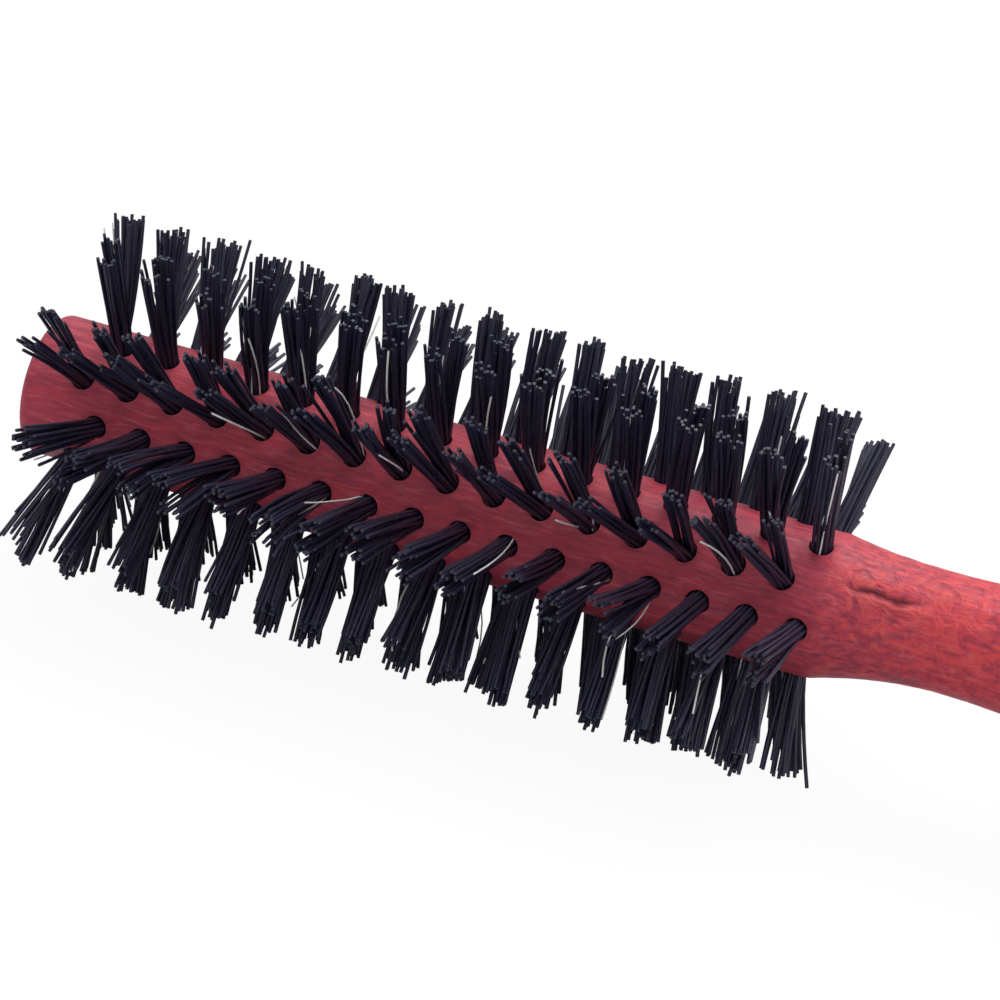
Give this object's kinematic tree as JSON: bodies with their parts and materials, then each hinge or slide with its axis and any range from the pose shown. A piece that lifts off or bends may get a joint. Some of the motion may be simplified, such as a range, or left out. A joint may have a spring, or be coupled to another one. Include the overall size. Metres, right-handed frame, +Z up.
{
  "type": "round barrel brush",
  "caption": "Round hair brush: a turned, red-stained wooden barrel and handle in one piece, with black bristle tufts stapled into staggered rows of holes.",
  "frame": {"origin": "centre of the bounding box in X and Y, on the surface that the brush lies on", "axes": "+X along the turning axis towards the end of the handle, +Z up, with the brush lying on the tips of two neighbouring tuft rows"},
  "size_m": [0.2128, 0.051, 0.0493],
  "materials": {
    "stained_wood": "red stain under a thin satin varnish, with fine grain showing",
    "bristle_nylon": "semi-gloss blue-black filaments, blunt-cut",
    "anchor_wire": "flat drawn wire"
  },
  "bodies": {
    "root": {"brush_body": "stained_wood", "tuft_row_01": "bristle_nylon", "tuft_row_02": "bristle_nylon", "tuft_row_03": "bristle_nylon", "tuft_row_04": "bristle_nylon", "tuft_row_05": "bristle_nylon", "tuft_row_06": "bristle_nylon", "tuft_row_07": "bristle_nylon", "tuft_row_08": "bristle_nylon", "tuft_row_09": "bristle_nylon", "tuft_row_10": "bristle_nylon", "anchor_row_01": "anchor_wire", "anchor_row_02": "anchor_wire", "anchor_row_03": "anchor_wire", "anchor_row_04": "anchor_wire", "anchor_row_05": "anchor_wire", "anchor_row_06": "anchor_wire", "anchor_row_07": "anchor_wire", "anchor_row_08": "anchor_wire", "anchor_row_09": "anchor_wire", "anchor_row_10": "anchor_wire"}
  },
  "joints": []
}
